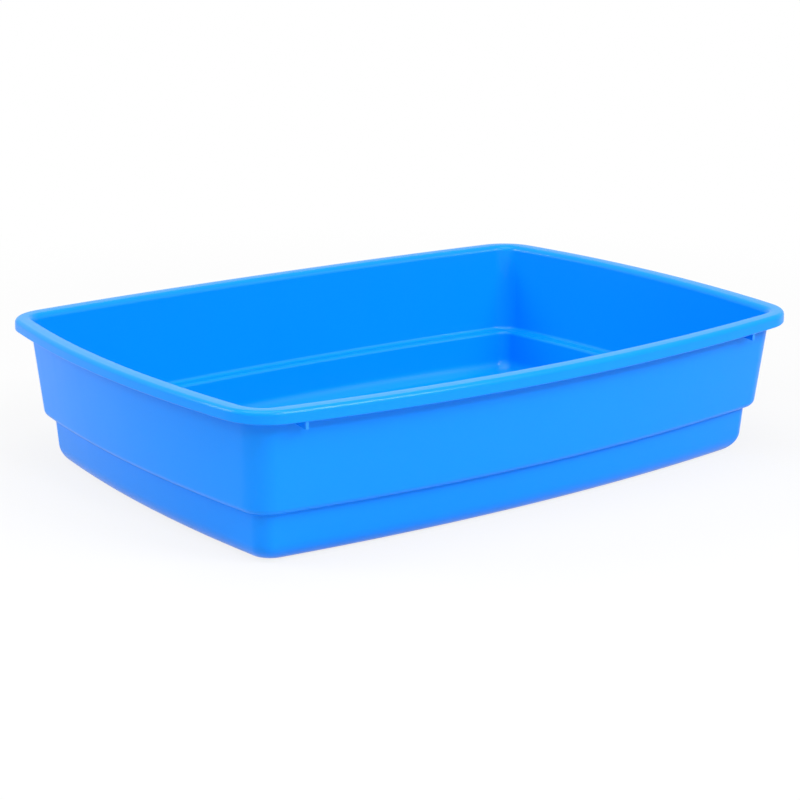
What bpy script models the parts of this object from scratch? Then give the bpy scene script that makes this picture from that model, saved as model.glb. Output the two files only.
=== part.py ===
"""Litter tray: an open pan moulded in one piece, with a ledge, a rolled rim and stacking lugs.

Metres, +Z up. X runs along the length and Y across the width. The origin is at ground level,
under the middle of the tray.
"""

from math import atan2, cos, pi, radians, sin, sqrt, tan

import bmesh
import bpy
from mathutils import Vector

# Overall size, over the outer faces of the rim
LENGTH = 0.460
WIDTH = 0.337
HEIGHT = 0.1004

# How far the sides bow outwards between the corners
LONG_BOW = 0.0190
SHORT_BOW_AT_RIM = 0.0178
SHORT_BOW_AT_BASE = 0.0134

# How far the middle of each long side hangs below its ends, from the ledge up, and how much
# further the skirt's lip hangs along it. A higher power keeps the lip level nearer to the corners
LONG_SIDE_SAG = 0.0021
LIP_SAG = 0.0012
LIP_SAG_POWER = 8

# Thicknesses of the moulding
WALL = 0.0022
FLOOR = 0.0024
SKIRT_WALL = 0.0020

# Radii of the four corners, seen from above
RIM_CORNER = 0.0310
RIM_CREST_CORNER = 0.0230
RIM_INNER_CORNER = 0.0140
UPPER_CORNER = 0.0185
LOWER_CORNER = 0.0120

# Rim: its top falls a little inwards, and its outer edge rolls over into a hanging skirt
RIM_REACH = 0.0101
RIM_OUTER_ROUND = 0.0028
RIM_CREST_END = 0.0062
RIM_CREST_ROUND = 0.0120
RIM_FALL = 0.0004
RIM_INNER_ROUND = 0.0042
RIM_UNDER_FILLET = 0.0020
SKIRT_HEIGHT = 0.0075
SKIRT_LIP_ROUND = 0.0009

# Upper wall: how far its slope brings it in on the way down to the ledge
UPPER_SLOPE_RUN = 0.0071

# Ledge: the height of its underside, how far it steps in, and its two bends
LEDGE_HEIGHT = 0.0330
LEDGE_STEP = 0.0066
LEDGE_OUTER_ROUND = 0.0054
LEDGE_INNER_ROUND = 0.0008

# Lower wall: its slope down to the base, and the base's rounded edge
LOWER_SLOPE_RUN = 0.0027
BASE_ROUND = 0.0142

# Stacking lugs: thin ribs between the wall and the skirt that hang below it
LUG_THICKNESS = 0.0021
LUG_DROP_AT_SKIRT = 0.0045
LUG_DROP_AT_WALL = 0.0034
LUG_FROM_ONE_END = 0.0488
LUG_FROM_OTHER_END = 0.0586

# How finely curves are cut: steps in half a side, in a corner, and in a bend of the section
LONG_STEPS = 7
SHORT_STEPS = 5
CORNER_STEPS = 6
LARGE_BEND_STEPS = 5
SMALL_BEND_STEPS = 3
TIGHT_BEND_STEPS = 2
SHARP_ANGLE = radians(40)
SEAM = 0.000001

# Finish
BLUE = (0.0, 0.280, 1.0)
ROUGHNESS = 0.35

HALF_LENGTH = LENGTH / 2
HALF_WIDTH = WIDTH / 2


def clear_scene():
    for item in list(bpy.data.objects):
        bpy.data.objects.remove(item)


def plastic(name, colour, roughness):
    material = bpy.data.materials.new(name)
    material.use_nodes = True
    shader = material.node_tree.nodes["Principled BSDF"]
    shader.inputs["Base Color"].default_value = (*colour, 1)
    shader.inputs["Roughness"].default_value = roughness
    shader.inputs["Metallic"].default_value = 0
    return material


# The tray seen from above: four bowed sides joined by four corners


def arc_radius(bow, half_chord):
    return (half_chord**2 + bow**2) / (2 * bow)


def side_arcs(inset, height):
    """The radius and the centre of the +Y side's arc, then those of the +X side's."""
    short_bow = SHORT_BOW_AT_BASE + (SHORT_BOW_AT_RIM - SHORT_BOW_AT_BASE) * height / HEIGHT
    long_radius = arc_radius(LONG_BOW, HALF_LENGTH)
    short_radius = arc_radius(short_bow, HALF_WIDTH)
    long_centre = Vector((0, HALF_WIDTH - long_radius))
    short_centre = Vector((HALF_LENGTH - short_radius, 0))
    return long_radius - inset, long_centre, short_radius - inset, short_centre


def corner_centre(long_radius, long_centre, short_radius, short_centre, corner):
    """Where a circle of the corner's radius touches both side arcs from inside."""
    between = short_centre - long_centre
    gap = between.length
    along = between / gap
    across = Vector((along.y, -along.x))
    to_long = long_radius - corner
    to_short = short_radius - corner
    foot = (to_long**2 - to_short**2 + gap**2) / (2 * gap)
    rise = sqrt(to_long**2 - foot**2)
    return long_centre + along * foot + across * rise


def arc_points(centre, radius, start, end, steps):
    """Points on an arc, from start up to but not at end."""
    for step in range(steps):
        angle = start + (end - start) * step / steps
        yield centre + radius * Vector((cos(angle), sin(angle)))


def quarter_outline(inset, height, corner):
    """From the middle of the +X side round to the middle of the +Y side."""
    arcs = side_arcs(inset, height)
    long_radius, long_centre, short_radius, short_centre = arcs
    middle = corner_centre(*arcs, corner)
    from_short = middle - short_centre
    from_long = middle - long_centre
    leave = atan2(from_short.y, from_short.x)
    meet = atan2(from_long.y, from_long.x)
    points = list(arc_points(short_centre, short_radius, 0, leave, SHORT_STEPS))
    points += arc_points(middle, corner, leave, meet, CORNER_STEPS)
    points += arc_points(long_centre, long_radius, meet, pi / 2, LONG_STEPS)
    return [*points, long_centre + Vector((0, long_radius))]


def sag(x, y, height):
    """How far a point hangs: most at the middle of a long side, and nothing at the base."""
    from_base = (height - BASE_ROUND) / (LEDGE_HEIGHT - BASE_ROUND)
    from_ledge = (height - LEDGE_HEIGHT) / (HEIGHT - SKIRT_HEIGHT - LEDGE_HEIGHT)
    from_top = (HEIGHT - height) / SKIRT_HEIGHT
    along = abs(x) / HALF_LENGTH
    hang = LONG_SIDE_SAG * min(max(from_base, 0), 1) * max(1 - along**2, 0)
    hang += LIP_SAG * max(min(from_ledge, from_top), 0) * max(1 - along**LIP_SAG_POWER, 0)
    return hang * (y / HALF_WIDTH) ** 2


def outline(inset, height, corner):
    """One closed ring round the tray, as far inside the rim's outer face as inset says."""
    quarter = quarter_outline(inset, height, corner)
    half = quarter + [Vector((-p.x, p.y)) for p in quarter[-2::-1]]
    ring = half + [Vector((p.x, -p.y)) for p in half[-2:0:-1]]
    return [Vector((p.x, p.y, height - sag(p.x, p.y, height))) for p in ring]


# The tray in section: a line of bends from the middle of the base, round the rim, to the floor


def upper_wall_inset(height):
    """Where the upper wall's outer face is."""
    under_rim = HEIGHT - WALL
    return RIM_REACH + UPPER_SLOPE_RUN * (under_rim - height) / (under_rim - LEDGE_HEIGHT)


def section():
    """Each bend's inset, height, corner radius seen from above, bend radius and steps."""
    under_rim = HEIGHT - WALL
    skirt_foot = HEIGHT - SKIRT_HEIGHT
    ledge_top = LEDGE_HEIGHT + WALL
    upper_foot = RIM_REACH + UPPER_SLOPE_RUN
    lower_top = upper_foot + LEDGE_STEP
    lower_foot = lower_top + LOWER_SLOPE_RUN
    skirt_corner = RIM_CORNER - SKIRT_WALL
    upper_corner = UPPER_CORNER - WALL
    lower_corner = LOWER_CORNER - WALL
    large, small, tight = LARGE_BEND_STEPS, SMALL_BEND_STEPS, TIGHT_BEND_STEPS
    outside = [
        (lower_foot, 0, LOWER_CORNER, BASE_ROUND, large),
        (lower_top, LEDGE_HEIGHT, LOWER_CORNER, LEDGE_INNER_ROUND, tight),
        (upper_foot, LEDGE_HEIGHT, UPPER_CORNER, LEDGE_OUTER_ROUND, large),
        (RIM_REACH, under_rim, UPPER_CORNER, RIM_UNDER_FILLET, tight),
        (SKIRT_WALL, under_rim, skirt_corner, RIM_OUTER_ROUND - SKIRT_WALL, tight),
        (SKIRT_WALL, skirt_foot, skirt_corner, SKIRT_LIP_ROUND, tight),
        (0, skirt_foot, RIM_CORNER, SKIRT_LIP_ROUND, tight),
        (0, HEIGHT, RIM_CORNER, RIM_OUTER_ROUND, large),
        (RIM_CREST_END, HEIGHT, RIM_CREST_CORNER, RIM_CREST_ROUND, tight),
    ]
    inside = [
        (RIM_REACH + WALL, HEIGHT - RIM_FALL, RIM_INNER_CORNER, RIM_INNER_ROUND, large),
        (upper_foot + WALL, ledge_top, upper_corner, LEDGE_OUTER_ROUND - WALL, small),
        (lower_top + WALL, ledge_top, lower_corner, LEDGE_INNER_ROUND + WALL, small),
        (lower_foot + WALL, FLOOR, lower_corner, BASE_ROUND - WALL, large),
    ]
    return outside + inside


def reaches(bends):
    """How far each bend's round reaches along its two sides. Two rounds that meet share the side."""
    corners = [Vector(bend[:2]) for bend in bends]
    wanted = [0]
    for before, at, after, bend in zip(corners, corners[1:], corners[2:], bends[1:]):
        wanted.append(bend[3] / tan((before - at).angle(after - at) / 2))
    wanted.append(0)
    shares = [1]
    for at, after, one, other in zip(corners, corners[1:], wanted, wanted[1:]):
        shares.append(min((after - at).length / (one + other), 1))
    shares.append(1)
    return [reach * min(pair) for reach, *pair in zip(wanted, shares, shares[1:])]


def rounded_bend(before, bend, after, reach):
    """The rings that take the section round one bend, tangent to both of its sides."""
    inset, height, corner, _, steps = bend
    at = Vector((inset, height))
    back = (Vector(before[:2]) - at).normalized()
    ahead = (Vector(after[:2]) - at).normalized()
    half_angle = back.angle(ahead) / 2
    middle = at + (back + ahead).normalized() * reach / cos(half_angle)
    start = at + back * reach - middle
    turn = start.angle_signed(at + ahead * reach - middle)
    for step in range(steps + 1):
        angle = -turn * step / steps
        spoke = Vector((
            start.x * cos(angle) - start.y * sin(angle),
            start.x * sin(angle) + start.y * cos(angle),
        ))
        yield middle.x + spoke.x, middle.y + spoke.y, corner


def rings():
    bends = [(HALF_WIDTH, 0), *section(), (HALF_WIDTH, FLOOR)]
    rounds = reaches(bends)
    for before, bend, after, reach in zip(bends, bends[1:], bends[2:], rounds[1:]):
        yield from rounded_bend(before, bend, after, reach)


# Solids


def new_object(name, shape, material):
    bmesh.ops.recalc_face_normals(shape, faces=shape.faces)
    mesh = bpy.data.meshes.new(name)
    shape.to_mesh(mesh)
    shape.free()
    mesh.materials.append(material)
    mesh.shade_smooth()
    mesh.set_sharp_from_angle(angle=SHARP_ANGLE)
    item = bpy.data.objects.new(name, mesh)
    bpy.context.scene.collection.objects.link(item)
    return item


def moulded_shell(name, material):
    """A sheet wrapped round the tray ring by ring, sewn at its seam, closed at base and floor."""
    loops = [outline(*ring) for ring in rings()]
    shape = bmesh.new()
    bmesh.ops.create_grid(shape, x_segments=len(loops[0]), y_segments=len(loops) - 1)
    points = [point for loop in loops for point in [*loop, loop[0]]]
    for vert, point in zip(shape.verts, points):
        vert.co = point
    bmesh.ops.remove_doubles(shape, verts=shape.verts, dist=SEAM)
    bmesh.ops.holes_fill(shape, edges=shape.edges)
    return new_object(name, shape, material)


def long_side_y(x, inset, height):
    """How far from the tray's middle line the long side is at x."""
    radius, centre, *_ = side_arcs(inset, height)
    return centre.y + sqrt(radius**2 - x**2)


def lug_profile(x):
    """A lug's outline across the side at x: the middle of the wall, the rim and the skirt."""
    round_level = HEIGHT - RIM_INNER_ROUND
    round_start = RIM_REACH + WALL - RIM_INNER_ROUND
    round_middle = (RIM_INNER_ROUND - WALL / 2) * sin(pi / 4)
    skirt_middle = SKIRT_WALL / 2
    rim_middle = HEIGHT - WALL / 2
    skirt_foot = HEIGHT - SKIRT_HEIGHT
    at_wall = skirt_foot - LUG_DROP_AT_WALL
    bends = [
        (upper_wall_inset(at_wall) + WALL / 2, at_wall),
        (upper_wall_inset(round_level) + WALL / 2, round_level),
        (round_start + round_middle, round_level + round_middle),
        (round_start, rim_middle),
        (RIM_OUTER_ROUND, rim_middle),
        (skirt_middle, HEIGHT - RIM_OUTER_ROUND),
        (skirt_middle, skirt_foot - LUG_DROP_AT_SKIRT),
    ]
    return [
        (long_side_y(x, inset, height), height - sag(x, HALF_WIDTH, height))
        for inset, height in bends
    ]


def lug_ribs(name, material):
    """Four ribs, placed alike when the tray is turned end for end."""
    shape = bmesh.new()
    places = [(HALF_LENGTH - LUG_FROM_ONE_END, 1), (LUG_FROM_OTHER_END - HALF_LENGTH, 1)]
    places += [(-x, -side) for x, side in places]
    for x, side in places:
        verts = [
            shape.verts.new((x - LUG_THICKNESS / 2, side * y, z)) for y, z in lug_profile(x)
        ]
        face = shape.faces.new(verts)
        grown = bmesh.ops.extrude_face_region(shape, geom=[face])["geom"]
        moved = [item for item in grown if isinstance(item, bmesh.types.BMVert)]
        bmesh.ops.translate(shape, verts=moved, vec=(LUG_THICKNESS, 0, 0))
    ribs = new_object(name, shape, material)
    ribs.hide_render = True
    ribs.display_type = "WIRE"
    return ribs


def unite(whole, addition):
    joint = whole.modifiers.new(addition.name, "BOOLEAN")
    joint.operation = "UNION"
    joint.solver = "EXACT"
    joint.object = addition


def main():
    clear_scene()
    blue = plastic("blue_plastic", BLUE, ROUGHNESS)
    tray = moulded_shell("tray", blue)
    unite(tray, lug_ribs("lugs", blue))


main()
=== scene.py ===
"""Moulds a blue plastic litter tray with Blender's modelling tools and sets it in a pale studio.

Metres, +Z up. X runs along the tray and Y across it, and the tray stands on the ground.
"""

import math

import bmesh
import bpy
from bpy.props import FloatProperty, FloatVectorProperty, IntProperty, PointerProperty
from mathutils import Matrix, Vector


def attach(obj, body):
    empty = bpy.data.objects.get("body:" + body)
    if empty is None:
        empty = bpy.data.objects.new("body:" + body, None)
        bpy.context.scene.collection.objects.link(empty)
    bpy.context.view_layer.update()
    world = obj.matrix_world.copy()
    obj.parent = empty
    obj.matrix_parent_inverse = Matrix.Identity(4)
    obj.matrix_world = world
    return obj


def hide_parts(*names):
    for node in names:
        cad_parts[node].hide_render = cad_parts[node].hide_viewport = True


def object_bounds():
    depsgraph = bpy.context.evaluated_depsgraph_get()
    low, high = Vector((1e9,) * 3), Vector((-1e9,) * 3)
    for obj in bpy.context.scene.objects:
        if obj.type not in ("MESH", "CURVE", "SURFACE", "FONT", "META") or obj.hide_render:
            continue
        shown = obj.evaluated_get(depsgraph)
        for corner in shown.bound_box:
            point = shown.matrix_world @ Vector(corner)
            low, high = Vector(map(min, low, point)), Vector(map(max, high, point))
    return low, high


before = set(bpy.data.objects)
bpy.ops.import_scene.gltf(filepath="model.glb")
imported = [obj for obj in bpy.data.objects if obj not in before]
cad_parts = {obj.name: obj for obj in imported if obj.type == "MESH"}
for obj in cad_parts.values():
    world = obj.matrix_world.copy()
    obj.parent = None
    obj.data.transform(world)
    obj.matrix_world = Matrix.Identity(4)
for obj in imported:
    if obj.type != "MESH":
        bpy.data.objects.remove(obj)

bl_info = {
    "name": "Litter Tray",
    "version": (1, 0, 0),
    "blender": (4, 5, 0),
    "location": "3D View > Sidebar > Litter Tray",
    "description": "Moulds a blue plastic litter tray and sets it in a pale studio",
    "category": "Add Mesh",
}

SOLID_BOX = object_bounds()
SOLID_SIZE = SOLID_BOX[1] - SOLID_BOX[0]
SEAM = 0.00001
# Whatever is lower than this on the shell is the base's underside
BASE_SKIN = 0.0005
# Each lamp's place and the length of its side
LAMPS = {
    "top_lamp": ((-0.4, -0.3, 1.8), 1.6),
    "back_lamp": ((-1.95, 1.13, 1.30), 1.0),
    "key_lamp": ((0.75, -2.07, 1.72), 1.1),
    "spark_lamp": ((-0.31, -1.99, 1.30), 0.18),
}


# Sizes and colours


class TrayPlan(bpy.types.PropertyGroup):
    """The tray seen from above."""

    length: FloatProperty(
        name="Length",
        description="Over the rim, from end to end",
        default=SOLID_SIZE.x,
        unit="LENGTH",
    )
    width: FloatProperty(
        name="Width",
        description="Over the rim, from side to side",
        default=SOLID_SIZE.y,
        unit="LENGTH",
    )
    long_bow: FloatProperty(
        name="Long side bow",
        description="How far a long side stands out at its middle",
        default=0.0190,
        unit="LENGTH",
    )
    short_bow_at_rim: FloatProperty(
        name="Short side bow at the rim",
        description="How far a short side's rim stands out at its middle",
        default=0.0178,
        unit="LENGTH",
    )
    short_bow_at_base: FloatProperty(
        name="Short side bow at the base",
        description="How far a short side's foot stands out at its middle",
        default=0.0134,
        unit="LENGTH",
    )
    sag: FloatProperty(
        name="Long side sag",
        description="How far the middle of a long side hangs below its ends",
        default=0.0021,
        unit="LENGTH",
    )
    lip_sag: FloatProperty(
        name="Lip sag",
        description="How much further the skirt's lip hangs along a long side",
        default=0.0012,
        unit="LENGTH",
    )
    lip_sag_power: IntProperty(
        name="Lip sag power",
        description="A higher power keeps the lip level nearer to the corners",
        default=8,
        min=2,
    )
    rim_corner: FloatProperty(
        name="Rim corner",
        description="Corner radius of the rim's outer face",
        default=0.0310,
        unit="LENGTH",
    )
    crest_corner: FloatProperty(
        name="Crest corner",
        description="Corner radius along the top of the rim",
        default=0.0230,
        unit="LENGTH",
    )
    mouth_corner: FloatProperty(
        name="Mouth corner",
        description="Corner radius where the rim meets the inside",
        default=0.0140,
        unit="LENGTH",
    )
    upper_corner: FloatProperty(
        name="Upper wall corner",
        description="Corner radius of the upper wall's outer face",
        default=0.0185,
        unit="LENGTH",
    )
    lower_corner: FloatProperty(
        name="Lower wall corner",
        description="Corner radius of the lower wall's outer face",
        default=0.0120,
        unit="LENGTH",
    )
    side_steps: IntProperty(
        name="Side steps",
        description="Steps in half of a side's curve",
        default=32,
        min=2,
    )
    corner_steps: IntProperty(
        name="Corner steps",
        description="Steps round a corner",
        default=18,
        min=2,
    )


class TrayRim(bpy.types.PropertyGroup):
    """The rolled rim and its hanging skirt."""

    reach: FloatProperty(
        name="Reach",
        description="From the rim's outer face in to the wall's outer face",
        default=0.0101,
        unit="LENGTH",
    )
    outer_round: FloatProperty(
        name="Outer round",
        description="Radius where the top rolls over into the skirt",
        default=0.0028,
        unit="LENGTH",
    )
    crest_end: FloatProperty(
        name="Crest end",
        description="How far in from the outer face the top starts to fall",
        default=0.0062,
        unit="LENGTH",
    )
    crest_round: FloatProperty(
        name="Crest round",
        description="Radius of the bend where the top starts to fall",
        default=0.0120,
        unit="LENGTH",
    )
    fall: FloatProperty(
        name="Fall",
        description="How far the top falls towards the inside",
        default=0.0004,
        unit="LENGTH",
    )
    inner_round: FloatProperty(
        name="Inner round",
        description="Radius where the top turns down into the inside",
        default=0.0042,
        unit="LENGTH",
    )
    under_fillet: FloatProperty(
        name="Fillet under the rim",
        description="Radius where the rim's underside meets the wall",
        default=0.0020,
        unit="LENGTH",
    )
    skirt_height: FloatProperty(
        name="Skirt height",
        description="From the top of the rim down to the skirt's lip",
        default=0.0075,
        unit="LENGTH",
    )
    skirt_wall: FloatProperty(
        name="Skirt wall",
        description="Thickness of the skirt",
        default=0.0020,
        unit="LENGTH",
    )
    lip_round: FloatProperty(
        name="Lip round",
        description="Radius along the two edges of the skirt's lip",
        default=0.0009,
        unit="LENGTH",
    )


class TrayWalls(bpy.types.PropertyGroup):
    """The walls, the ledge between them and the floor."""

    wall: FloatProperty(
        name="Wall",
        description="Thickness of the walls",
        default=0.0022,
        unit="LENGTH",
    )
    floor: FloatProperty(
        name="Floor",
        description="Thickness of the floor",
        default=0.0024,
        unit="LENGTH",
    )
    upper_slope: FloatProperty(
        name="Upper slope",
        description="How far the upper wall comes in from the rim down to the ledge",
        default=0.0071,
        unit="LENGTH",
    )
    ledge_height: FloatProperty(
        name="Ledge height",
        description="From the ground to the ledge's underside",
        default=0.0330,
        unit="LENGTH",
    )
    ledge_step: FloatProperty(
        name="Ledge step",
        description="How far the ledge steps in",
        default=0.0066,
        unit="LENGTH",
    )
    ledge_outer_round: FloatProperty(
        name="Ledge outer round",
        description="Radius of the ledge's outer bend",
        default=0.0054,
        unit="LENGTH",
    )
    ledge_inner_round: FloatProperty(
        name="Ledge inner round",
        description="Radius of the ledge's inner bend, under the ledge",
        default=0.0008,
        unit="LENGTH",
    )
    lower_slope: FloatProperty(
        name="Lower slope",
        description="How far the lower wall comes in from the ledge down to the ground",
        default=0.0027,
        unit="LENGTH",
    )
    base_round: FloatProperty(
        name="Base round",
        description="Radius of the bottom edge",
        default=0.0142,
        unit="LENGTH",
    )
    wall_rows: IntProperty(
        name="Wall rows",
        description="Rows of faces down a wall between its bends",
        default=8,
        min=1,
    )
    foot_steps: IntProperty(
        name="Foot steps",
        description="Steps down the rounded bottom edge",
        default=14,
        min=2,
    )


class TrayLugs(bpy.types.PropertyGroup):
    """The thin stacking lugs between the wall and the skirt."""

    thickness: FloatProperty(
        name="Thickness",
        description="Along the tray",
        default=0.0021,
        unit="LENGTH",
    )
    drop_at_skirt: FloatProperty(
        name="Drop at the skirt",
        description="How far a lug hangs below the skirt, at the skirt",
        default=0.0045,
        unit="LENGTH",
    )
    drop_at_wall: FloatProperty(
        name="Drop at the wall",
        description="How far a lug hangs below the skirt, at the wall",
        default=0.0034,
        unit="LENGTH",
    )
    from_one_end: FloatProperty(
        name="From one end",
        description="From the end of the rim to the nearest lug",
        default=0.0488,
        unit="LENGTH",
    )
    from_other_end: FloatProperty(
        name="From the other end",
        description="From the other end of the rim to its nearest lug",
        default=0.0586,
        unit="LENGTH",
    )
    edge_round: FloatProperty(
        name="Edge round",
        description="Radius along a lug's edges",
        default=0.0003,
        unit="LENGTH",
    )


class TrayPlastic(bpy.types.PropertyGroup):
    """The blue plastic."""

    colour: FloatVectorProperty(
        name="Colour",
        description="Colour of the plastic",
        default=(0.0, 0.280, 1.0),
        subtype="COLOR",
        min=0,
        max=1,
    )
    roughness: FloatProperty(
        name="Roughness",
        description="Roughness of the moulded surface",
        default=0.34,
        subtype="FACTOR",
        min=0,
        max=1,
    )
    grain: FloatProperty(
        name="Grain",
        description="Size of the fine unevenness that the mould leaves",
        default=0.0016,
        unit="LENGTH",
    )
    grain_depth: FloatProperty(
        name="Grain depth",
        description="Depth of the fine unevenness",
        default=0.000004,
        unit="LENGTH",
    )
    ripple: FloatProperty(
        name="Ripple",
        description="Width of the slow ripples that cooling leaves in the walls",
        default=0.060,
        unit="LENGTH",
    )
    ripple_depth: FloatProperty(
        name="Ripple depth",
        description="Depth of the slow ripples",
        default=0.00012,
        unit="LENGTH",
    )
    rub: FloatProperty(
        name="Rub",
        description="How much fine rubbing changes the gloss",
        default=0.10,
        subtype="FACTOR",
        min=0,
        max=1,
    )
    rub_size: FloatProperty(
        name="Rub size",
        description="Width of the rubbed patches",
        default=1 / 90,
        unit="LENGTH",
    )
    rub_drawn: FloatProperty(
        name="Rub drawn out",
        description="Scale of the rubbing up the walls, where a lower one draws it out more",
        default=0.12,
        min=0,
    )
    # Painted shade: the share of the colour left in the ripples' hollows, darkened to stand in
    # for the shade that falls there
    ripple_painted_shade: FloatProperty(
        name="Shade",
        description="How much of the colour is left where a ripple is darkest",
        default=0.97,
        subtype="FACTOR",
        min=0,
        max=1,
    )
    gate: FloatProperty(
        name="Gate mark",
        description="Radius of the mark under the base where the mould was filled",
        default=0.0060,
        unit="LENGTH",
    )
    gate_edge: FloatProperty(
        name="Gate mark edge",
        description="From the middle of the mark's groove to its edge",
        default=0.0006,
        unit="LENGTH",
    )
    gate_depth: FloatProperty(
        name="Gate mark depth",
        description="Depth of the mark's groove",
        default=0.0003,
        unit="LENGTH",
    )


class TrayStudio(bpy.types.PropertyGroup):
    """The pale floor, the light and the camera."""

    floor_size: FloatProperty(
        name="Floor size",
        description="Length of the floor's side",
        default=12.0,
        unit="LENGTH",
    )
    floor_colour: FloatVectorProperty(
        name="Floor colour",
        description="Colour of the floor",
        default=(0.70, 0.70, 0.70),
        subtype="COLOR",
        min=0,
        max=1,
    )
    shadow_reach: FloatProperty(
        name="Shadow reach",
        description="How far from the tray's middle the floor keeps its full shadow",
        default=0.30,
        unit="LENGTH",
    )
    white_reach: FloatProperty(
        name="White reach",
        description="How far from the tray's middle the floor starts to be plain white",
        default=0.9,
        unit="LENGTH",
    )
    paleness: FloatProperty(
        name="Paleness",
        description="Share of plain white in the floor under the tray, as the camera sees it",
        default=0.84,
        subtype="FACTOR",
        min=0,
        max=1,
    )
    sky: FloatProperty(
        name="Sky",
        description="Strength of the plain light from all round",
        default=0.25,
    )
    top_lamp: FloatProperty(
        name="Top lamp",
        description="Power of the large lamp above the tray",
        default=23.0,
        unit="POWER",
    )
    back_lamp: FloatProperty(
        name="Back lamp",
        description="Power of the wide lamp behind the tray, to its left",
        default=30.0,
        unit="POWER",
    )
    key_lamp: FloatProperty(
        name="Key lamp",
        description="Power of the lamp in front of the tray, which casts its shadows",
        default=45.0,
        unit="POWER",
    )
    spark_lamp: FloatProperty(
        name="Spark lamp",
        description="Power of the small lamp in front of the tray, which sparkles on its edges",
        default=9.0,
        unit="POWER",
    )
    turn: FloatProperty(
        name="Camera turn",
        description="How far round the tray the camera stands",
        default=math.radians(-36.404),
        subtype="ANGLE",
    )
    rise: FloatProperty(
        name="Camera rise",
        description="How far above the horizon the camera stands",
        default=math.radians(15.542),
        subtype="ANGLE",
    )
    distance: FloatProperty(
        name="Camera distance",
        description="From the camera to the point that it turns round",
        default=1.33355,
        unit="LENGTH",
    )
    aim: FloatProperty(
        name="Aim height",
        description="Height of the point that the camera turns round",
        default=0.032,
        unit="LENGTH",
    )
    aside: FloatProperty(
        name="Camera aside",
        description="How far the camera moves to its right, without turning",
        default=-0.00195,
        unit="LENGTH",
    )
    up: FloatProperty(
        name="Camera up",
        description="How far the camera moves up its picture, without turning",
        default=0.00687,
        unit="LENGTH",
    )
    lens: FloatProperty(
        name="Lens",
        description="Focal length",
        default=88.449,
        unit="CAMERA",
    )


# Plastic


class Socket:
    """An output socket that can be added, multiplied and compared in an expression."""

    def __init__(self, finish, socket):
        self.finish = finish
        self.socket = socket

    def maths(self, operation, *values):
        inputs = dict(enumerate(values))
        return self.finish.node("ShaderNodeMath", inputs, operation=operation)

    def __add__(self, other):
        return self.maths("ADD", self, other)

    def __radd__(self, other):
        return self.maths("ADD", other, self)

    def __sub__(self, other):
        return self.maths("SUBTRACT", self, other)

    def __rsub__(self, other):
        return self.maths("SUBTRACT", other, self)

    def __mul__(self, other):
        return self.maths("MULTIPLY", self, other)

    def __rmul__(self, other):
        return self.maths("MULTIPLY", other, self)


class Finish:
    """A material or a world, and the nodes that make it."""

    def __init__(self, owner):
        owner.use_nodes = True
        self.owner = owner
        self.tree = owner.node_tree
        self.tree.nodes.clear()

    def node(self, kind, inputs, output=0, **settings):
        made = self.tree.nodes.new(kind)
        for name, value in settings.items():
            setattr(made, name, value)
        for key, value in inputs.items():
            if isinstance(value, Socket):
                self.tree.links.new(value.socket, made.inputs[key])
            else:
                made.inputs[key].default_value = value
        return Socket(self, made.outputs[output]) if made.outputs else None


def blue_plastic(sizes):
    """Smooth moulded plastic: fine grain, slow ripples with painted shade in their hollows, faint
    rubbing and a gate mark below.
    """
    finish = Finish(bpy.data.materials.new("blue_plastic"))
    place = finish.node("ShaderNodeTexCoord", {}, output="Object")
    grain = finish.node(
        "ShaderNodeTexNoise",
        {"Vector": place, "Scale": 1 / sizes.grain, "Detail": 3.0, "Roughness": 0.6},
    )
    ripple = finish.node(
        "ShaderNodeTexNoise",
        {"Vector": place, "Scale": 1 / sizes.ripple, "Detail": 1.0, "Roughness": 0.4},
    )
    drawn = finish.node(
        "ShaderNodeMapping", {"Vector": place, "Scale": (1.0, 1.0, sizes.rub_drawn)}
    )
    rub = finish.node(
        "ShaderNodeTexNoise",
        {"Vector": drawn, "Scale": 1 / sizes.rub_size, "Detail": 6.0, "Roughness": 0.62},
    )
    across = finish.node(
        "ShaderNodeVectorMath",
        {0: place, 1: (1.0, 1.0, 0.0)},
        operation="MULTIPLY",
    )
    from_middle = finish.node(
        "ShaderNodeVectorMath", {0: across}, output="Value", operation="LENGTH"
    )
    from_gate = finish.node(
        "ShaderNodeMath", {0: from_middle - sizes.gate}, operation="ABSOLUTE"
    )
    groove = finish.node(
        "ShaderNodeMapRange",
        {"Value": from_gate, 1: 0.0, 2: sizes.gate_edge, 3: 1.0, 4: 0.0},
        interpolation_type="SMOOTHSTEP",
    )
    height = finish.node("ShaderNodeSeparateXYZ", {"Vector": place}, output="Z")
    below = finish.node(
        "ShaderNodeMath", {0: height, 1: BASE_SKIN}, operation="LESS_THAN"
    )
    # Painted shade in the ripples' hollows: the colour darkens where the ripple noise is low, the
    # same noise that dents the bump
    colour = finish.node(
        "ShaderNodeMix",
        {
            0: ripple,
            6: (*(value * sizes.ripple_painted_shade for value in sizes.colour), 1.0),
            7: (*sizes.colour, 1.0),
        },
        output=2,
        data_type="RGBA",
    )
    relief = (
        grain * sizes.grain_depth
        + ripple * sizes.ripple_depth
        - groove * below * sizes.gate_depth
    )
    bump = finish.node(
        "ShaderNodeBump", {"Height": relief, "Distance": 1.0, "Strength": 1.0}, output="Normal"
    )
    shader = finish.node(
        "ShaderNodeBsdfPrincipled",
        {
            "Base Color": colour,
            "Roughness": sizes.roughness + (rub - 0.5) * sizes.rub,
            "Metallic": 0.0,
            "IOR": 1.49,
            "Specular IOR Level": 0.10,
            "Coat Weight": 0.16,
            "Coat Roughness": 0.09,
            "Normal": bump,
        },
    )
    finish.node("ShaderNodeOutputMaterial", {"Surface": shader})
    return finish.owner


# Shell


def arc_radius(bow, half_chord):
    """Radius of an arc that stands out by the bow over the middle of its chord."""
    return (half_chord**2 + bow**2) / (2 * bow)


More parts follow.
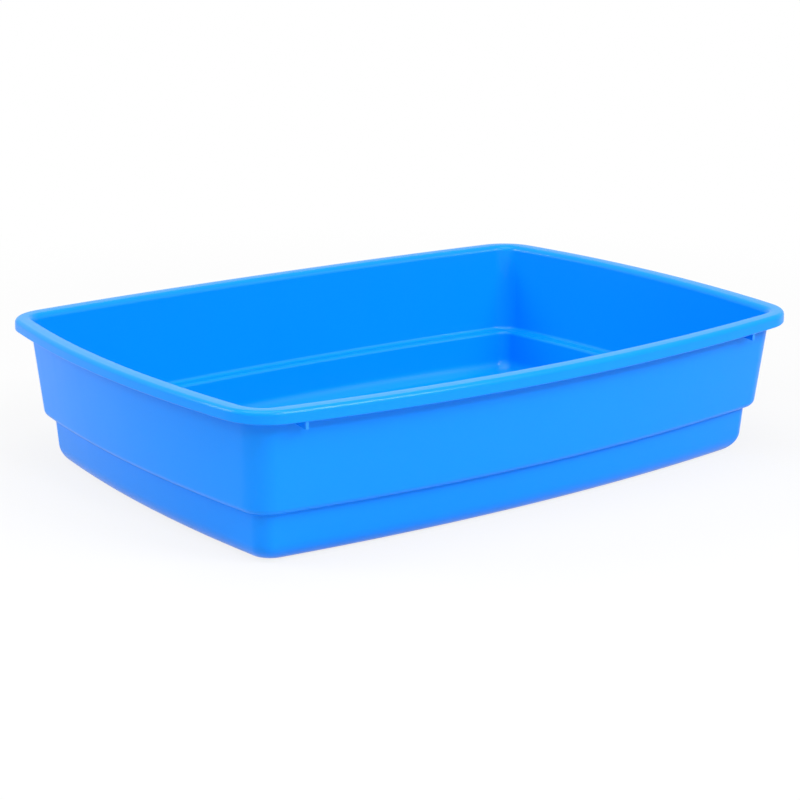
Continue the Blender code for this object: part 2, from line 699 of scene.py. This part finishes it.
def side_arcs(plan, height, inset, level):
    """The radius and the centre of the +Y side's arc, then those of the +X side's."""
    rise = plan.short_bow_at_rim - plan.short_bow_at_base
    short_bow = plan.short_bow_at_base + rise * level / height
    long_radius = arc_radius(plan.long_bow, plan.length / 2)
    short_radius = arc_radius(short_bow, plan.width / 2)
    long_centre = Vector((0, plan.width / 2 - long_radius))
    short_centre = Vector((plan.length / 2 - short_radius, 0))
    return long_radius - inset, long_centre, short_radius - inset, short_centre


def corner_centre(long_radius, long_centre, short_radius, short_centre, corner):
    """Where a circle of the corner's radius touches both side arcs from inside."""
    between = short_centre - long_centre
    gap = between.length
    along = between / gap
    across = Vector((along.y, -along.x))
    to_long = long_radius - corner
    to_short = short_radius - corner
    foot = (to_long**2 - to_short**2 + gap**2) / (2 * gap)
    rise = math.sqrt(to_long**2 - foot**2)
    return long_centre + along * foot + across * rise


def draw_arc(shape, vert, centre, angle, steps):
    """Swings a vertex round an upright axis and returns its far end."""
    swung = bmesh.ops.spin(
        shape,
        geom=[vert],
        cent=(*centre, vert.co.z),
        axis=(0, 0, 1),
        angle=angle,
        steps=steps,
    )
    return swung["geom_last"][0]


def draw_quarter(shape, plan, height, inset, level, corner):
    """A quarter of the outline, from the middle of the +X side to the middle of the +Y side."""
    arcs = side_arcs(plan, height, inset, level)
    _, long_centre, short_radius, short_centre = arcs
    middle = corner_centre(*arcs, corner)
    from_short = middle - short_centre
    from_long = middle - long_centre
    leave = math.atan2(from_short.y, from_short.x)
    meet = math.atan2(from_long.y, from_long.x)
    vert = shape.verts.new((short_centre.x + short_radius, 0, level))
    vert = draw_arc(shape, vert, short_centre, leave, plan.side_steps)
    vert = draw_arc(shape, vert, middle, meet - leave, plan.corner_steps)
    draw_arc(shape, vert, long_centre, math.pi / 2 - meet, plan.side_steps)


def foot_rings(inset, level, corner, radius, run, rise, steps):
    """Rings down a rounded bottom edge, from the wall to the flat, which need no bevel.

    The edge is rounder than the corners are, so a bevel would fold over there.
    """
    lean = math.atan2(run, rise)
    reach = radius * math.tan((math.pi / 2 - lean) / 2)
    for step in range(steps + 1):
        angle = lean + (math.pi / 2 - lean) * step / steps
        along = inset + reach - radius * math.cos(angle)
        yield along, level + radius * (1 - math.sin(angle)), corner, 0, 0


def bends(plan, rim, walls, height):
    """Each bend of the section: inset, level, corner radius from above, round and segments."""
    under_rim = height - walls.wall
    skirt_foot = height - rim.skirt_height
    ledge_top = walls.ledge_height + walls.wall
    upper_foot = rim.reach + walls.upper_slope
    lower_top = upper_foot + walls.ledge_step
    lower_foot = lower_top + walls.lower_slope
    skirt_corner = plan.rim_corner - rim.skirt_wall
    upper_inside = plan.upper_corner - walls.wall
    lower_inside = plan.lower_corner - walls.wall
    upper_turn = walls.ledge_outer_round - walls.wall
    lower_turn = walls.ledge_inner_round + walls.wall
    foot = (
        plan.lower_corner,
        walls.base_round,
        walls.lower_slope,
        walls.ledge_height,
        walls.foot_steps,
    )
    inner_foot = (
        lower_inside,
        walls.base_round - walls.wall,
        walls.lower_slope,
        ledge_top - walls.floor,
        walls.foot_steps,
    )
    return [
        *reversed([*foot_rings(lower_foot, 0, *foot)]),
        (lower_top, walls.ledge_height, plan.lower_corner, walls.ledge_inner_round, 4),
        (upper_foot, walls.ledge_height, plan.upper_corner, walls.ledge_outer_round, 10),
        (rim.reach, under_rim, plan.upper_corner, rim.under_fillet, 4),
        (rim.skirt_wall, under_rim, skirt_corner, rim.outer_round - rim.skirt_wall, 6),
        (rim.skirt_wall, skirt_foot, skirt_corner, rim.lip_round, 4),
        (0, skirt_foot, plan.rim_corner, rim.lip_round, 4),
        (0, height, plan.rim_corner, rim.outer_round, 12),
        (rim.crest_end, height, plan.crest_corner, rim.crest_round, 4),
        (rim.reach + walls.wall, height - rim.fall, plan.mouth_corner, rim.inner_round, 12),
        (upper_foot + walls.wall, ledge_top, upper_inside, upper_turn, 8),
        (lower_top + walls.wall, ledge_top, lower_inside, lower_turn, 8),
        *foot_rings(lower_foot + walls.wall, walls.floor, *inner_foot),
    ]


def reaches(rows):
    """How far each bend's round reaches along its two sides, shared where two rounds meet."""
    corners = [Vector(row[:2]) for row in rows]
    wanted = [0]
    for before, at, after, row in zip(corners, corners[1:], corners[2:], rows[1:]):
        wanted.append(row[3] / math.tan((before - at).angle(after - at) / 2))
    wanted.append(0)
    shares = [
        min((after - at).length / max(one + other, SEAM), 1)
        for at, after, one, other in zip(corners, corners[1:], wanted, wanted[1:])
    ]
    return [reach * min(pair) for reach, *pair in zip(wanted, [1, *shares], [*shares, 1])]


def sag(plan, rim, walls, height, point):
    """How far a point hangs: most at the middle of a long side, and nothing at the base."""
    skirt_foot = height - rim.skirt_height
    from_base = (point.z - walls.base_round) / (walls.ledge_height - walls.base_round)
    from_ledge = (point.z - walls.ledge_height) / (skirt_foot - walls.ledge_height)
    from_top = (height - point.z) / rim.skirt_height
    along = 2 * abs(point.x) / plan.length
    hang = plan.sag * min(max(from_base, 0), 1) * max(1 - along**2, 0)
    lip = max(1 - along**plan.lip_sag_power, 0)
    hang += plan.lip_sag * max(min(from_ledge, from_top), 0) * lip
    return hang * (2 * point.y / plan.width) ** 2


def finished(shape, name, material):
    """Makes a mesh object of a shape, with its faces pointing out and smoothly shaded."""
    bmesh.ops.recalc_face_normals(shape, faces=shape.faces)
    mesh = bpy.data.meshes.new(name)
    shape.to_mesh(mesh)
    shape.free()
    mesh.shade_smooth()
    mesh.materials.append(material)
    item = bpy.data.objects.new(name, mesh)
    bpy.context.scene.collection.objects.link(item)
    return item


class TRAY_OT_mould_shell(bpy.types.Operator):
    """Moulds the tray: floor, walls, ledge, rim and skirt in one"""

    bl_idname = "tray.mould_shell"
    bl_label = "Mould Shell"
    bl_options = {"REGISTER", "UNDO"}

    def execute(self, context):
        scene = context.scene
        plan, rim, walls = scene.tray_plan, scene.tray_rim, scene.tray_walls
        rows = bends(plan, rim, walls, SOLID_SIZE.z)
        shape = bmesh.new()
        bend = shape.edges.layers.int.new("bend")
        for number, (inset, level, corner, _, _) in enumerate(rows, 1):
            draw_quarter(shape, plan, SOLID_SIZE.z, inset, level, corner)
            for edge in shape.edges:
                edge[bend] = edge[bend] or number
        for number in range(1, len(rows)):
            pair = [edge for edge in shape.edges if edge[bend] in (number, number + 1)]
            bmesh.ops.bridge_loops(shape, edges=pair)
        for axis in ("X", "Y"):
            bmesh.ops.mirror(
                shape,
                geom=[*shape.verts, *shape.edges, *shape.faces],
                matrix=Matrix.Identity(4),
                merge_dist=SEAM,
                axis=axis,
            )
        bmesh.ops.holes_fill(shape, edges=shape.edges)
        bmesh.ops.recalc_face_normals(shape, faces=shape.faces)
        for number, (row, reach) in enumerate(zip(rows, reaches(rows)), 1):
            if not reach:
                continue
            bmesh.ops.bevel(
                shape,
                geom=[edge for edge in shape.edges if edge[bend] == number],
                offset=reach,
                offset_type="OFFSET",
                affect="EDGES",
                segments=row[4],
                profile=0.5,
                clamp_overlap=False,
                material=-1,
            )
        tall = [
            edge
            for edge in shape.edges
            if abs(edge.verts[0].co.z - edge.verts[1].co.z) > walls.ledge_step
        ]
        bmesh.ops.subdivide_edges(shape, edges=tall, cuts=walls.wall_rows - 1, use_grid_fill=True)
        for vert in shape.verts:
            vert.co.z -= sag(plan, rim, walls, SOLID_SIZE.z, vert.co)
        shell = finished(shape, "tray_shell", blue_plastic(scene.tray_plastic))
        shell.modifiers.new("even_shading", "WEIGHTED_NORMAL")
        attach(shell, "root")
        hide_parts("tray")
        return {"FINISHED"}


# Lugs


def long_side_y(plan, height, x, inset, level):
    """How far from the tray's middle line the long side is at x."""
    radius, centre, *_ = side_arcs(plan, height, inset, level)
    return centre.y + math.sqrt(radius**2 - x**2)


def lug_profile(scene, height, x):
    """A lug's outline across the side at x: middle of the wall, of the rim and of the skirt."""
    plan, rim, walls, lugs = scene.tray_plan, scene.tray_rim, scene.tray_walls, scene.tray_lugs
    under_rim = height - walls.wall
    slope = walls.upper_slope / (under_rim - walls.ledge_height)
    half_wall = walls.wall / 2
    rim_middle = height - half_wall
    round_level = height - rim.inner_round
    round_start = rim.reach + walls.wall - rim.inner_round
    round_middle = (rim.inner_round - half_wall) * math.sin(math.pi / 4)
    skirt_foot = height - rim.skirt_height
    at_wall = skirt_foot - lugs.drop_at_wall
    points = [
        (rim.reach + slope * (under_rim - at_wall) + half_wall, at_wall),
        (rim.reach + slope * (under_rim - round_level) + half_wall, round_level),
        (round_start + round_middle, round_level + round_middle),
        (round_start, rim_middle),
        (rim.outer_round, rim_middle),
        (rim.skirt_wall / 2, height - rim.outer_round),
        (rim.skirt_wall / 2, skirt_foot - lugs.drop_at_skirt),
    ]
    side = plan.width / 2
    return [
        (
            long_side_y(plan, height, x, inset, level),
            level - sag(plan, rim, walls, height, Vector((x, side, level))),
        )
        for inset, level in points
    ]


class TRAY_OT_add_lugs(bpy.types.Operator):
    """Adds the four stacking lugs under the rim of the long sides"""

    bl_idname = "tray.add_lugs"
    bl_label = "Add Lugs"
    bl_options = {"REGISTER", "UNDO"}

    def execute(self, context):
        scene = context.scene
        plan, lugs = scene.tray_plan, scene.tray_lugs
        half = plan.length / 2
        places = [(half - lugs.from_one_end, 1), (lugs.from_other_end - half, 1)]
        places += [(-x, -side) for x, side in places]
        shape = bmesh.new()
        for x, side in places:
            start = x - lugs.thickness / 2
            profile = lug_profile(scene, SOLID_SIZE.z, x)
            face = shape.faces.new([shape.verts.new((start, side * y, z)) for y, z in profile])
            grown = bmesh.ops.extrude_face_region(shape, geom=[face])["geom"]
            moved = [item for item in grown if isinstance(item, bmesh.types.BMVert)]
            bmesh.ops.translate(shape, verts=moved, vec=(lugs.thickness, 0, 0))
        bmesh.ops.bevel(
            shape,
            geom=shape.edges[:],
            offset=lugs.edge_round,
            offset_type="OFFSET",
            affect="EDGES",
            segments=3,
            profile=0.5,
            clamp_overlap=True,
            material=-1,
        )
        ribs = finished(shape, "stacking_lugs", bpy.data.materials["blue_plastic"])
        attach(ribs, "root")
        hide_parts("tray")
        return {"FINISHED"}


# Studio


def seen_rays(finish):
    """One for rays from the camera, and for those that gloss or glass turns, and else nothing."""
    camera = finish.node("ShaderNodeLightPath", {}, output="Is Camera Ray")
    glossy = finish.node("ShaderNodeLightPath", {}, output="Is Glossy Ray")
    through = finish.node("ShaderNodeLightPath", {}, output="Is Transmission Ray")
    return finish.node("ShaderNodeMath", {0: camera + glossy, 1: through}, use_clamp=True)


def pale_floor(studio):
    """A matt floor that stays pale to the camera and keeps the tray's shadow."""
    finish = Finish(bpy.data.materials.new("pale_floor"))
    matt = finish.node("ShaderNodeBsdfDiffuse", {"Color": (*studio.floor_colour, 1.0)})
    white = finish.node("ShaderNodeEmission", {"Color": (1.0, 1.0, 1.0, 1.0), "Strength": 1.0})
    seen = seen_rays(finish)
    place = finish.node("ShaderNodeTexCoord", {}, output="Object")
    away = finish.node("ShaderNodeVectorMath", {0: place}, output="Value", operation="LENGTH")
    pale = finish.node(
        "ShaderNodeMapRange",
        {
            "Value": away,
            1: studio.shadow_reach,
            2: studio.white_reach,
            3: studio.paleness,
            4: 1.0,
        },
        interpolation_type="SMOOTHSTEP",
    )
    mixed = finish.node("ShaderNodeMixShader", {0: seen * pale, 1: matt, 2: white})
    finish.node("ShaderNodeOutputMaterial", {"Surface": mixed})
    return finish.owner


def plain_sky(strength):
    """White all round, and plain white where the camera sees it."""
    finish = Finish(bpy.data.worlds.new("plain_sky"))
    rays = seen_rays(finish)
    white = {"Color": (1.0, 1.0, 1.0, 1.0)}
    light = finish.node("ShaderNodeBackground", {**white, "Strength": strength})
    seen = finish.node("ShaderNodeBackground", {**white, "Strength": 1.0})
    mixed = finish.node("ShaderNodeMixShader", {0: rays, 1: light, 2: seen})
    finish.node("ShaderNodeOutputWorld", {"Surface": mixed})
    return finish.owner


def area_lamp(name, place, side, power):
    """A square soft lamp turned to the tray, that the camera doesn't see."""
    light = bpy.data.lights.new(name, "AREA")
    light.size = side
    light.energy = power
    lamp = bpy.data.objects.new(name, light)
    lamp.location = place
    lamp.rotation_euler = (-lamp.location).to_track_quat("-Z", "Y").to_euler()
    lamp.visible_camera = False
    bpy.context.scene.collection.objects.link(lamp)


class TRAY_OT_set_studio(bpy.types.Operator):
    """Lays the pale floor, hangs the lamps and places the camera"""

    bl_idname = "tray.set_studio"
    bl_label = "Set Studio"
    bl_options = {"REGISTER", "UNDO"}

    def execute(self, context):
        scene = context.scene
        studio = scene.tray_studio
        shape = bmesh.new()
        bmesh.ops.create_grid(shape, x_segments=1, y_segments=1, size=studio.floor_size / 2)
        finished(shape, "studio_floor", pale_floor(studio))
        scene.world = plain_sky(studio.sky)
        for name, (place, side) in LAMPS.items():
            area_lamp(name, place, side, getattr(studio, name))
        turn, rise = studio.turn, studio.rise
        back = Vector((
            math.sin(turn) * math.cos(rise),
            -math.cos(turn) * math.cos(rise),
            math.sin(rise),
        ))
        right = Vector((math.cos(turn), math.sin(turn), 0))
        above = back.cross(right)
        camera = bpy.data.objects.new("camera", bpy.data.cameras.new("camera"))
        camera.data.lens = studio.lens
        camera.data.clip_end = studio.floor_size * 4
        camera.rotation_euler = (math.pi / 2 - rise, 0, turn)
        camera.location = (
            Vector((0, 0, studio.aim))
            + back * studio.distance
            + right * studio.aside
            + above * studio.up
        )
        scene.collection.objects.link(camera)
        scene.camera = camera
        scene.view_settings.view_transform = "Standard"
        return {"FINISHED"}


class VIEW3D_PT_litter_tray(bpy.types.Panel):
    """Lists the tray's sizes and the steps that make it"""

    bl_label = "Litter Tray"
    bl_idname = "VIEW3D_PT_litter_tray"
    bl_space_type = "VIEW_3D"
    bl_region_type = "UI"
    bl_category = "Litter Tray"

    def draw(self, context):
        layout = self.layout
        for step in STEPS:
            layout.operator(step.bl_idname)
        for name, group in GROUPS.items():
            box = layout.box()
            sizes = getattr(context.scene, name)
            for prop in group.__annotations__:
                box.prop(sizes, prop)


GROUPS = {
    "tray_plan": TrayPlan,
    "tray_rim": TrayRim,
    "tray_walls": TrayWalls,
    "tray_lugs": TrayLugs,
    "tray_plastic": TrayPlastic,
    "tray_studio": TrayStudio,
}
STEPS = (TRAY_OT_mould_shell, TRAY_OT_add_lugs, TRAY_OT_set_studio)


def register():
    for kind in (*GROUPS.values(), *STEPS, VIEW3D_PT_litter_tray):
        bpy.utils.register_class(kind)
    for name, group in GROUPS.items():
        setattr(bpy.types.Scene, name, PointerProperty(type=group))


def unregister():
    for name in GROUPS:
        delattr(bpy.types.Scene, name)
    for kind in reversed((*GROUPS.values(), *STEPS, VIEW3D_PT_litter_tray)):
        bpy.utils.unregister_class(kind)


def main():
    register()
    bpy.ops.tray.mould_shell()
    bpy.ops.tray.add_lugs()
    bpy.ops.tray.set_studio()


if __name__ == "__main__":
    main()
